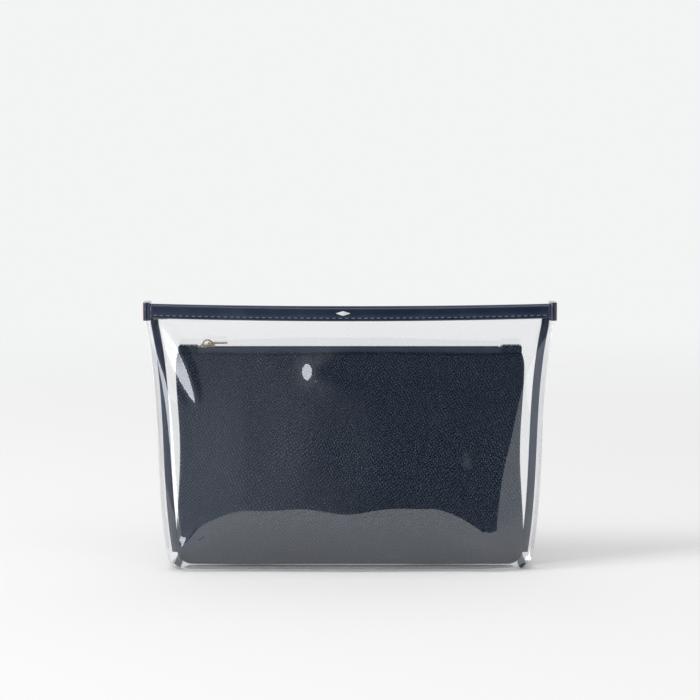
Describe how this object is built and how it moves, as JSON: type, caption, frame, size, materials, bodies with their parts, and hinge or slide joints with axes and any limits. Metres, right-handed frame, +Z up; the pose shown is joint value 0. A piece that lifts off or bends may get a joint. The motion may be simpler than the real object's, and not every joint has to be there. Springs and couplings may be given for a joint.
{
  "type": "cash deposit bag",
  "caption": "Clear zip bag standing on a boxed base, with a flat leather zip pouch inside for notes and coins.",
  "frame": {"origin": "middle of the base, on the surface the bag stands on", "axes": "+X along the mouth to the bag's right end, front faces -Y, +Z up"},
  "size_m": [0.24, 0.0522, 0.1556],
  "materials": {
    "clear_vinyl": "clear soft PVC sheet",
    "navy_vinyl": "glossy soft vinyl",
    "navy_leather": "pebble grain leather",
    "navy_tape": "woven zip and binding tape",
    "navy_coil": "nylon coil",
    "lining_cloth": "thin plain weave lining",
    "pale_thread": "pale blue-grey thread",
    "navy_thread": "dark navy thread",
    "antique_brass": "pale antique brass plating",
    "pale_print": "flat white print"
  },
  "bodies": {
    "bag": {"clear_body": "clear_vinyl", "left_seam_binding": "navy_tape", "right_seam_binding": "navy_tape", "left_corner_binding": "navy_tape", "right_corner_binding": "navy_tape", "front_mouth_binding": "navy_vinyl", "back_mouth_binding": "navy_vinyl", "left_mouth_end_tab": "navy_vinyl", "right_mouth_end_tab": "navy_vinyl", "front_mouth_stitches": "pale_thread", "back_mouth_stitches": "pale_thread", "band_mark": "pale_print", "front_mouth_zip_tape": "navy_tape", "back_mouth_zip_tape": "navy_tape", "front_mouth_coil": "navy_coil", "back_mouth_coil": "navy_coil", "left_mouth_zip_stop": "antique_brass", "right_mouth_zip_stop": "antique_brass"},
    "mouth_slider": {"mouth_zip_slider": "antique_brass"},
    "mouth_pull": {"mouth_zip_pull": "antique_brass"},
    "pouch": {"front_pouch_leather": "navy_leather", "back_pouch_leather": "navy_leather", "pouch_lining": "lining_cloth", "front_pouch_zip_tape": "navy_tape", "back_pouch_zip_tape": "navy_tape", "front_pouch_coil": "navy_coil", "back_pouch_coil": "navy_coil", "left_pouch_zip_tab": "navy_leather", "right_pouch_zip_tab": "navy_leather", "left_pouch_zip_stop": "antique_brass", "right_pouch_zip_stop": "antique_brass", "front_pouch_stitches": "navy_thread", "back_pouch_stitches": "navy_thread"},
    "pouch_slider": {"pouch_zip_slider": "antique_brass"},
    "pouch_pull": {"pouch_zip_pull": "antique_brass"}
  },
  "joints": [
    {"name": "mouth_zip_slide", "type": "slide", "parent": "bag", "child": "mouth_slider", "axis": [1, 0, 0], "range_m": [0, 0.214]},
    {"name": "mouth_pull_swing", "type": "hinge", "parent": "mouth_slider", "child": "mouth_pull", "pos_m": [-0.10955, 0, 0.1504], "axis": [0, -1, 0], "range_deg": [0, 125]},
    {"name": "pouch_lift", "type": "slide", "parent": "bag", "child": "pouch", "axis": [0, 0, 1], "range_m": [0, 0.008]},
    {"name": "pouch_zip_slide", "type": "slide", "parent": "pouch", "child": "pouch_slider", "axis": [1, 0, 0], "range_m": [0, 0.1657]},
    {"name": "pouch_pull_swing", "type": "hinge", "parent": "pouch_slider", "child": "pouch_pull", "pos_m": [-0.08225, 0, 0.1314], "axis": [0, -1, 0], "range_deg": [0, 170]}
  ]
}
